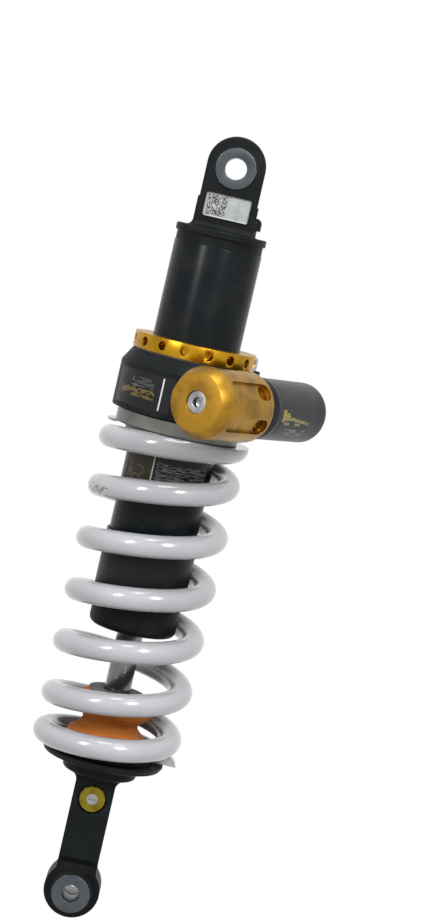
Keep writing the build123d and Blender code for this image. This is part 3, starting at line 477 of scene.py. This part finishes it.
def place_on(piece, origin, axis):
    """Moves a piece modelled on Z onto another axis and leaves it unturned at the origin."""
    along = Vector(axis).normalized()
    outward = Vector((along.y, -along.x, 0)).normalized()
    turn = Matrix((outward, along.cross(outward), along)).transposed().to_4x4()
    piece.matrix_world = Matrix.Translation(Vector(origin)) @ turn
    fresh()
    piece.select_set(True)
    bpy.context.view_layer.objects.active = piece
    bpy.ops.object.transform_apply(location=True, rotation=True, scale=True)
    return piece


def complete(piece, node, smooth=30, look=None):
    """Gives a piece its finish, its body and the frame piece it stands for, and reports it."""
    slot_name = next(s["material_slot"] for s in frame["record"]["subparts"] if s["node"] == node)
    fresh()
    piece.select_set(True)
    bpy.context.view_layer.objects.active = piece
    bpy.ops.object.transform_apply(location=True, rotation=True, scale=True)
    clean_mesh()
    bpy.ops.object.shade_smooth_by_angle(angle=math.radians(smooth))
    piece.data.materials.clear()
    piece.data.materials.append(finishes[look or slot_name])
    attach(piece, nodes[node]["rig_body"])
    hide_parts(node)
    print(piece.name, len(piece.data.polygons), "faces for", node)
    return piece


def extent(node):
    """Largest radius, lowest and highest point of a round frame piece on Z, in millimetres."""
    low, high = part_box(node)
    return high.x / MM, low.z / MM, high.z / MM


# %% [markdown]
# ## Spring
# The spring is cold wound from 13 mm wire: the end coils lie close, the pitch opens over about a turn
# at each end, and both ends are ground flat to sit square. A disc of wire is carried round the axis
# in small steps, dropping by the local pitch each time, and the ends are then cut flat.

# %% Coil spring
WIRE_RADIUS = 6.6
SPRING_TURNS = 7.5
CLOSED_PITCH = 13.5
TOP_CLOSED, BOTTOM_CLOSED = 0.6, 0.5
TOP_RAMP, BOTTOM_RAMP = 0.8, 1.0
TOP_TIP_DEPTH = -5.0
BOTTOM_TIP_HEIGHT = -0.8
COIL_STEPS = 40
COIL_HAND = 1


def coil_pitch(turn, active):
    """Drop per turn at a place along the wire."""
    from_top = (turn - TOP_CLOSED) / TOP_RAMP
    from_bottom = (SPRING_TURNS - BOTTOM_CLOSED - turn) / BOTTOM_RAMP
    opening = min(1.0, max(0.0, from_top), max(0.0, from_bottom))
    return CLOSED_PITCH + (active - CLOSED_PITCH) * opening


def make_coil():
    outer, bottom, top = extent("coil_spring")
    mean = outer - WIRE_RADIUS
    ends = TOP_CLOSED + BOTTOM_CLOSED + (TOP_RAMP + BOTTOM_RAMP) / 2
    rise = top - bottom - TOP_TIP_DEPTH - BOTTOM_TIP_HEIGHT
    active = (rise - CLOSED_PITCH * ends) / (SPRING_TURNS - ends)
    fresh()
    start = (-mean * MM, 0, (top - TOP_TIP_DEPTH) * MM)
    bpy.ops.mesh.primitive_circle_add(
        vertices=36, radius=WIRE_RADIUS * MM, fill_type="NGON", location=start, rotation=(math.pi / 2, 0, 0)
    )
    coil = bpy.context.object
    coil.name = "spring_coil"
    bpy.ops.object.transform_apply(location=True, rotation=True, scale=True)
    bpy.ops.object.mode_set(mode="EDIT")
    bpy.ops.mesh.select_all(action="SELECT")
    for step in range(int(SPRING_TURNS * COIL_STEPS)):
        drop = coil_pitch((step + 0.5) / COIL_STEPS, active) / COIL_STEPS
        bpy.ops.mesh.extrude_region_move(TRANSFORM_OT_translate={"value": (0, 0, -drop * MM)})
        bpy.ops.transform.rotate(
            value=COIL_HAND * 2 * math.pi / COIL_STEPS, orient_axis="Z", center_override=(0, 0, 0)
        )
    for height, way in ((top, 1), (bottom, -1)):
        bpy.ops.mesh.select_all(action="SELECT")
        bpy.ops.mesh.bisect(
            plane_co=(0, 0, height * MM), plane_no=(0, 0, way), use_fill=True, clear_outer=True
        )
    bpy.ops.mesh.select_all(action="SELECT")
    bpy.ops.mesh.remove_doubles(threshold=0.000002)
    bpy.ops.mesh.normals_make_consistent(inside=False)
    bpy.ops.object.mode_set(mode="OBJECT")
    print("open pitch", round(active, 2), "mm, mean radius", round(mean, 2), "mm")
    return coil


spring = complete(make_coil(), "coil_spring", smooth=40)
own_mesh(spring)

# %% [markdown]
# ## Tube, guide sleeve and end cap
# The damper tube is drawn steel or aluminium with a hard black coat. A thin plastic sleeve keeps the
# spring from rubbing on it, and a screwed cap with a generously rounded rim closes its lower end. The
# upper spring seat is plain turned aluminium, which shows the lathe's rings.

# %% Turned pieces on the damper
tube_radius, tube_low, tube_high = extent("damper_tube")
TUBE_WALL = 2.0


def arc(centre_radius, centre_height, size, first, last, steps=8):
    """Points of a rounded corner, by angle from straight out, in degrees."""
    turns = [math.radians(first + (last - first) * i / steps) for i in range(steps + 1)]
    return [(centre_radius + size * math.cos(t), centre_height + size * math.sin(t)) for t in turns]


tube_piece = trace_profile("damper_body_tube", [
    (tube_radius - TUBE_WALL, tube_low), (tube_radius, tube_low),
    (tube_radius, tube_high), (tube_radius - TUBE_WALL, tube_high),
])
complete(break_edges(tube_piece, 0.5), "damper_tube")

guide_radius, guide_low, guide_high = extent("spring_guide_sleeve")
guide_piece = trace_profile("guide_sleeve", [
    (tube_radius, guide_low), (guide_radius, guide_low),
    (guide_radius, guide_high), (tube_radius, guide_high),
])
complete(break_edges(guide_piece, 0.6), "spring_guide_sleeve")

END_CAP_BORE = 13.0
END_CAP_ROUND = 3.8
cap_radius, cap_low, cap_high = extent("lower_end_cap")
cap_outline = [(END_CAP_BORE, cap_low)]
cap_outline += arc(cap_radius - END_CAP_ROUND, cap_low + END_CAP_ROUND, END_CAP_ROUND, -90, 0)
cap_outline += [
    (cap_radius, tube_low), (tube_radius - TUBE_WALL, tube_low),
    (tube_radius - TUBE_WALL, cap_high), (END_CAP_BORE, cap_high),
]
complete(break_edges(trace_profile("end_cap", cap_outline), 0.25), "lower_end_cap")

# %% [markdown]
# ## Bump stop
# Near full travel the tube's end lands on this cone of foamed polyurethane. It is moulded with a waist
# so that it folds in a controlled way. The outline is read ring by ring from the frame piece, and its
# edges are rounded so that it looks moulded and not cut.

# %% Bump stop and its washer


def outer_rings(node):
    """Largest radius at each height of a turned frame piece, lowest first, in millimetres."""
    rings = {}
    for vertex in nodes[node].data.vertices:
        height = round(vertex.co.z / MM, 1)
        radius = math.hypot(vertex.co.x, vertex.co.y) / MM
        rings[height] = max(rings.get(height, 0.0), radius)
    return [(rings[height], height) for height in sorted(rings)]


def bore_of(node):
    """Smallest radius of a frame piece on Z, in millimetres."""
    return min(math.hypot(v.co.x, v.co.y) for v in nodes[node].data.vertices) / MM


bump_low, bump_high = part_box("bump_stop")
bump_bore = bore_of("bump_stop")
bump_outline = [(bump_bore, bump_low.z / MM)] + outer_rings("bump_stop") + [(bump_bore, bump_high.z / MM)]
bump = trace_profile("bump_stop_foam", bump_outline)
bump = complete(break_edges(bump, 0.7, angle=35), "bump_stop", smooth=50)

washer_radius, washer_low, washer_high = extent("bump_washer")
washer_outline = [
    (bump_bore, washer_low), (washer_radius, washer_low),
    (washer_radius, washer_high), (bump_bore, washer_high),
]
washer = complete(break_edges(trace_profile("bump_stop_washer", washer_outline), 0.3), "bump_washer")
for soft in (bump, washer):
    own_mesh(soft)

# %% [markdown]
# ## Preload ring
# The ring is turned from bar, anodised gold and drilled round its rim for a pin spanner. It is modelled
# the same way: a turned ring, one drilled hole repeated round it, and then every edge broken.

# %% Preload ring


def carve(piece, cutter):
    """Takes the cutter's volume out of a piece and removes the cutter."""
    cut = piece.modifiers.new("cut", "BOOLEAN")
    cut.operation = "DIFFERENCE"
    cut.object = cutter
    bpy.context.view_layer.objects.active = piece
    bpy.ops.object.modifier_apply(modifier=cut.name)
    bpy.data.objects.remove(cutter)


def turned_copy(piece, turn):
    """A copy with its own mesh, turned about Z."""
    twin = piece.copy()
    twin.data = piece.data.copy()
    bpy.context.scene.collection.objects.link(twin)
    twin.rotation_euler = (0, 0, turn)
    bpy.context.view_layer.update()
    return twin


RING_HOLES = 16
RING_HOLE_RADIUS = 2.55
RING_HOLE_DEPTH = 6.5
RING_HOLE_PHASE = 2.9
ring_radius, ring_low, ring_high = extent("preload_ring")
ring_bore = bore_of("preload_ring")
ring = trace_profile("gold_ring", [
    (ring_bore, ring_low), (ring_radius, ring_low), (ring_radius, ring_high), (ring_bore, ring_high),
])
fresh()
bpy.ops.mesh.primitive_cylinder_add(
    vertices=32, radius=RING_HOLE_RADIUS * MM, depth=2 * (RING_HOLE_DEPTH + 1) * MM,
    location=((ring_radius + 1) * MM, 0, (ring_low + ring_high) / 2 * MM), rotation=(0, math.pi / 2, 0),
)
hole = bpy.context.object
bpy.ops.object.transform_apply(location=True, rotation=True, scale=True)
for index in range(RING_HOLES):
    carve(ring, turned_copy(hole, math.radians(RING_HOLE_PHASE + (index + 0.5) * 360 / RING_HOLES)))
bpy.data.objects.remove(hole)
complete(break_edges(ring, 0.4, segments=2), "preload_ring")

# %% [markdown]
# ## Preload knob
# The hand knob is also turned and anodised. Its front is a shallow cone down to a flat face, six long
# scallops give the fingers a grip, and a small socket screw holds it on its shaft. Its axis and the
# place of its face come from the joint that turns it.

# %% Preload knob and its screw
knob_face = joints["knob_turn"]["pos_m"]
knob_axis = joints["knob_turn"]["axis"]


def along_axis(node):
    """Largest radius, nearest and farthest point of a frame piece on the pump's axis, in millimetres."""
    origin, way = Vector(knob_face), Vector(knob_axis).normalized()
    spans, radii = [], []
    for vertex in nodes[node].data.vertices:
        offset = vertex.co - origin
        along = offset.dot(way)
        spans.append(along / MM)
        radii.append((offset - way * along).length / MM)
    return max(radii), min(spans), max(spans)


KNOB_FACE_RADIUS = 15.8
KNOB_CONE_LENGTH = 7.0
KNOB_SHAFT = 4.0
SCREW_SEAT = 8.0
REAR_ROUND = 2.5
knob_radius, knob_near, knob_far = along_axis("preload_knob")
screw_radius, screw_near, screw_far = along_axis("knob_screw")
knob_outline = [
    (screw_radius, knob_near), (KNOB_FACE_RADIUS, knob_near), (knob_radius, knob_near + KNOB_CONE_LENGTH),
]
knob_outline += arc(knob_radius - REAR_ROUND, knob_far - REAR_ROUND, REAR_ROUND, 0, 90)
knob_outline += [(KNOB_SHAFT, knob_far), (KNOB_SHAFT, SCREW_SEAT), (screw_radius, SCREW_SEAT)]
knob = trace_profile("hand_knob", knob_outline)

POCKETS = 6
POCKET_PHASE = -36.0
POCKET_START, POCKET_LENGTH = 8.0, 38.5
POCKET_WIDTH, POCKET_DEPTH = 9.7, 2.4


def pocket_cutter():
    """A long round-ended slot on the +X side of the knob."""
    half = POCKET_WIDTH / 2
    fresh()
    bpy.ops.mesh.primitive_circle_add(
        vertices=40, radius=half * MM, fill_type="NGON", rotation=(0, math.pi / 2, 0),
        location=((knob_radius - POCKET_DEPTH) * MM, 0, (POCKET_START + half) * MM),
    )
    slot = bpy.context.object
    bpy.ops.object.transform_apply(location=True, rotation=True, scale=True)
    middle = (POCKET_START + half) * MM
    bpy.ops.object.mode_set(mode="EDIT")
    bpy.ops.mesh.select_all(action="DESELECT")
    bpy.ops.object.mode_set(mode="OBJECT")
    for vertex in slot.data.vertices:
        vertex.select = vertex.co.z > middle + 1e-7
    bpy.ops.object.mode_set(mode="EDIT")
    bpy.ops.mesh.select_mode(type="VERT")
    bpy.ops.transform.translate(value=(0, 0, (POCKET_LENGTH - POCKET_WIDTH) * MM))
    bpy.ops.mesh.select_all(action="SELECT")
    bpy.ops.mesh.extrude_region_move(TRANSFORM_OT_translate={"value": (2 * POCKET_DEPTH * MM, 0, 0)})
    bpy.ops.mesh.select_all(action="SELECT")
    bpy.ops.mesh.normals_make_consistent(inside=False)
    bpy.ops.object.mode_set(mode="OBJECT")
    return slot


pocket = pocket_cutter()
fresh()
bpy.ops.mesh.primitive_cylinder_add(
    vertices=40, radius=(POCKET_WIDTH / 2 - 0.8) * MM, depth=2 * POCKET_DEPTH * MM,
    location=((knob_radius - POCKET_DEPTH) * MM, 0, (POCKET_START + POCKET_LENGTH - POCKET_WIDTH / 2) * MM),
    rotation=(0, math.pi / 2, 0),
)
recess = bpy.context.object
bpy.ops.object.transform_apply(location=True, rotation=True, scale=True)
for index in range(POCKETS):
    turn = math.radians(POCKET_PHASE + index * 360 / POCKETS)
    carve(knob, turned_copy(pocket, turn))
    carve(knob, turned_copy(recess, turn))
bpy.data.objects.remove(pocket)
bpy.data.objects.remove(recess)
break_edges(knob, 0.35, segments=2)
complete(place_on(knob, knob_face, knob_axis), "preload_knob", smooth=20, look="gold_darker")

HEX_ACROSS = 5.0
HEX_DEPTH = 4.5
fresh()
bpy.ops.mesh.primitive_cylinder_add(
    vertices=72, radius=screw_radius * MM, depth=(screw_far - screw_near) * MM,
    location=(0, 0, (screw_near + screw_far) / 2 * MM),
)
screw = bpy.context.object
screw.name = "knob_socket_screw"
bpy.ops.object.transform_apply(location=True, rotation=True, scale=True)
fresh()
bpy.ops.mesh.primitive_cylinder_add(
    vertices=6, radius=HEX_ACROSS / math.sqrt(3) * MM, depth=2 * (HEX_DEPTH - screw_near) * MM,
    location=(0, 0, screw_near * MM),
)
carve(screw, bpy.context.object)
break_edges(screw, 0.35, segments=2)
complete(place_on(screw, knob_face, knob_axis), "knob_screw")

# %% [markdown]
# ## Eye sleeves
# Each eye turns on a ground steel sleeve with broken edges. The lower one is long and stands well out
# of its eye, and a fine seam runs round the middle of its bore where two halves meet.

# %% Eye sleeves


def eye_sleeve(name, node, joint, seam):
    """A bearing sleeve on an eye's axis, with a seam in its bore if asked."""
    low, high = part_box(node)
    outer, half = (high.x - low.x) / 2 / MM, (high.y - low.y) / 2 / MM
    mount = next(m for m in frame["record"]["mounts"] if m["name"] == joint.replace("_sleeve_turn", "_eye"))
    inner = mount["dims"]["r_mm"]
    outline = [(inner, -half), (outer, -half), (outer, half), (inner, half)]
    if seam:
        outline += [(inner, 0.5), (inner + 0.5, 0.25), (inner + 0.5, -0.25), (inner, -0.5)]
    piece = break_edges(trace_profile(name, outline), 0.3, angle=50)
    edges = place_on(piece, joints[joint]["pos_m"], (0, 1, 0))
    return complete(edges, node)


eye_sleeve("upper_eye_sleeve", "upper_sleeve", "upper_sleeve_turn", False)
eye_sleeve("lower_eye_sleeve", "lower_sleeve", "lower_sleeve_turn", True)

# %% [markdown]
# ## Labels
# Printed labels are left generic: a white sticker with a scatter of small squares, and dark ones with
# faint rows of dashes and a thin light upright line, a painted highlight for the left strip light's
# reflection. They carry no lettering and no mark. Each label is a real thin piece that lies on its part,
# and its print and painted highlight come from the cells of one shared node group.

# %% Label print and painted highlights


def label_finish(name, paper, marks, rough=0.4, gloss=0.2):
    """A printed label, with painted highlights where asked: each mark is (colour, cell size, amount, zone),
    all in millimetres.
    """
    material = bpy.data.materials.new(name)
    material.use_nodes = True
    tree = material.node_tree
    shader = tree.nodes["Principled BSDF"]
    shader.inputs["Specular IOR Level"].default_value = gloss
    patch = use_group(tree, patch_group, Scale=220)
    colour = blend_colours(tree, patch.outputs["Mask"], paper, [0.82 * part for part in paper])
    colour = add_marks(tree, colour, marks)
    grain = use_group(tree, skin_group, Scale=1500, Strength=0.05)
    tree.links.new(colour, shader.inputs["Base Color"])
    tree.links.new(spread(tree, grain.outputs["Value"], rough, rough + 0.15), shader.inputs["Roughness"])
    tree.links.new(grain.outputs["Normal"], shader.inputs["Normal"])
    return material


def stick(label, body, material):
    """Gives a label its print and its body."""
    fresh()
    label.data.materials.clear()
    label.data.materials.append(material)
    bpy.context.view_layer.objects.active = label
    label.select_set(True)
    clean_mesh()
    bpy.ops.object.shade_smooth_by_angle(angle=math.radians(30))
    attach(label, body)
    print(label.name, "on", body)


LABEL_THICKNESS = 0.1
FILM_THICKNESS = 0.03


def curved_label(name, radius, low, high, middle, sweep, thickness=LABEL_THICKNESS):
    """A thin label wrapped round a cylinder on Z, centred on an azimuth from +X, in degrees."""
    fresh()
    centre = ((radius + thickness / 2) * MM, 0, (low + high) / 2 * MM)
    bpy.ops.mesh.primitive_plane_add(size=1, location=centre, rotation=(math.pi / 2, 0, 0))
    label = bpy.context.object
    label.name = name
    label.scale = (thickness * MM, (high - low) * MM, 1)
    bpy.ops.object.transform_apply(location=True, rotation=True, scale=True)
    bpy.ops.object.mode_set(mode="EDIT")
    bpy.ops.mesh.select_all(action="SELECT")
    bpy.ops.mesh.spin(steps=40, angle=math.radians(sweep), center=(0, 0, 0), axis=(0, 0, 1))
    bpy.ops.mesh.select_all(action="SELECT")
    bpy.ops.mesh.remove_doubles(threshold=0.000002)
    bpy.ops.mesh.normals_make_consistent(inside=False)
    bpy.ops.object.mode_set(mode="OBJECT")
    centre = sum((v.co for v in label.data.vertices), Vector()) / len(label.data.vertices)
    label.rotation_euler = (0, 0, math.radians(middle) - math.atan2(centre.y, centre.x))
    bpy.ops.object.transform_apply(location=True, rotation=True, scale=True)
    return label


# %% [markdown]
# ## Where the labels go
# The white label sits on the flat of the upper lug, where a mechanic can read it with the shock fitted.
# The dark ones wrap the tube, the housing and the pump. The spring seat's collar slides over the tube's
# label with little room, so that one is a film far thinner than the others.

# %% Labels in place
LUG_LABEL = (25.6, 13.3)
LUG_LABEL_HEIGHT = -22.1
seal_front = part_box("upper_eye_seals")[0].y / MM
SEAL_STEP = 0.2
fresh()
bpy.ops.mesh.primitive_cube_add(
    size=1, location=(0, (seal_front - SEAL_STEP - LABEL_THICKNESS / 2) * MM, LUG_LABEL_HEIGHT * MM)
)
lug_label = bpy.context.object
lug_label.name = "lug_label"
lug_label.scale = (LUG_LABEL[0] * MM, LABEL_THICKNESS * MM, LUG_LABEL[1] * MM)
bpy.ops.object.transform_apply(location=True, rotation=True, scale=True)
bpy.ops.object.mode_set(mode="EDIT")
bpy.ops.mesh.select_all(action="DESELECT")
bpy.ops.object.mode_set(mode="OBJECT")
for edge in lug_label.data.edges:
    first, second = [lug_label.data.vertices[i].co for i in edge.vertices]
    edge.select = abs(first.y - second.y) > 1e-6
bpy.ops.object.mode_set(mode="EDIT")
bpy.ops.mesh.select_mode(type="EDGE")
bpy.ops.mesh.bevel(offset=1.2 * MM, segments=5, affect="EDGES")
bpy.ops.object.mode_set(mode="OBJECT")
white_print = label_finish("label_white", (0.24, 0.247, 0.252), [
    ((0.03, 0.03, 0.03), (0.55, 0.55), 0.5, (-11.6, -0.6, -27.9, -16.4)),
    ((0.20, 0.20, 0.20), (1.4, 0.5), 0.22, (3.5, 11.8, -18.4, -16.9)),
    ((0.24, 0.24, 0.24), (0.9, 0.5), 0.30, (0.4, 4.0, -24.8, -23.6)),
])
stick(lug_label, nodes["top_mount"]["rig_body"], white_print)

dark_paper = (0.0045, 0.0055, 0.006)
tube_print_and_highlight = label_finish("label_tube", dark_paper, [
    ((0.022, 0.016, 0.009), (40.0, 40.0), 1.1, (-25.0, -8.4, -189.0, -162.0)),
    ((0.06, 0.05, 0.03), (1.3, 1.1), 0.30, (-22.0, -12.0, -186.0, -172.0)),
    # This thin light line is a painted highlight: the left strip light's reflection running down the tube.
    ((0.34, 0.34, 0.34), (0.6, 40.0), 1.1, (-8.4, -7.7, -187.0, -164.0)),
    ((0.075, 0.075, 0.075), (2.6, 0.55), 0.55, (-6.0, 22.0, -183.0, -168.0)),
], rough=0.25)
tube_label = curved_label("tube_label", tube_radius, -189.0, -162.0, -90, 120, thickness=FILM_THICKNESS)
stick(tube_label, nodes["damper_tube"]["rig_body"], tube_print_and_highlight)

housing_radius = -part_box("preload_housing")[0].x / MM
housing_print_and_highlight = label_finish("label_housing", dark_paper, [
    ((0.075, 0.052, 0.016), (1.7, 0.8), 0.55, (-35.0, -16.0, -134.5, -129.5)),
    ((0.055, 0.055, 0.055), (2.4, 0.5), 0.35, (-30.0, -17.0, -129.0, -123.5)),
    # This thin light line is a painted highlight: the left strip light's reflection running down the
    # housing.
    ((0.40, 0.40, 0.40), (0.6, 40.0), 1.1, (-12.7, -11.9, -139.0, -121.0)),
], rough=0.25)
housing_label = curved_label("housing_label", housing_radius, -140.0, -120.0, -130, 62)
stick(housing_label, nodes["preload_housing"]["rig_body"], housing_print_and_highlight)

pump_radius, pump_near, pump_far = along_axis("pump_cylinder")
pump_print = label_finish("label_pump", (0.012, 0.0125, 0.013), [
    ((0.16, 0.13, 0.03), (2.2, 1.2), 0.50, (51.0, 60.0, -128.0, -122.0)),
    ((0.13, 0.12, 0.05), (3.0, 0.6), 0.50, (54.0, 74.0, -130.5, -126.0)),
    ((0.12, 0.12, 0.12), (3.4, 0.5), 0.35, (58.0, 76.0, -137.0, -132.5)),
], rough=0.25)
PUMP_LABEL = (6.0, 36.0)
pump_low, pump_high = pump_near + PUMP_LABEL[0], pump_near + PUMP_LABEL[1]
pump_label = curved_label("pump_label", pump_radius, pump_low, pump_high, -12, 110)
place_on(pump_label, knob_face, knob_axis)
stick(pump_label, nodes["pump_cylinder"]["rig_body"], pump_print)
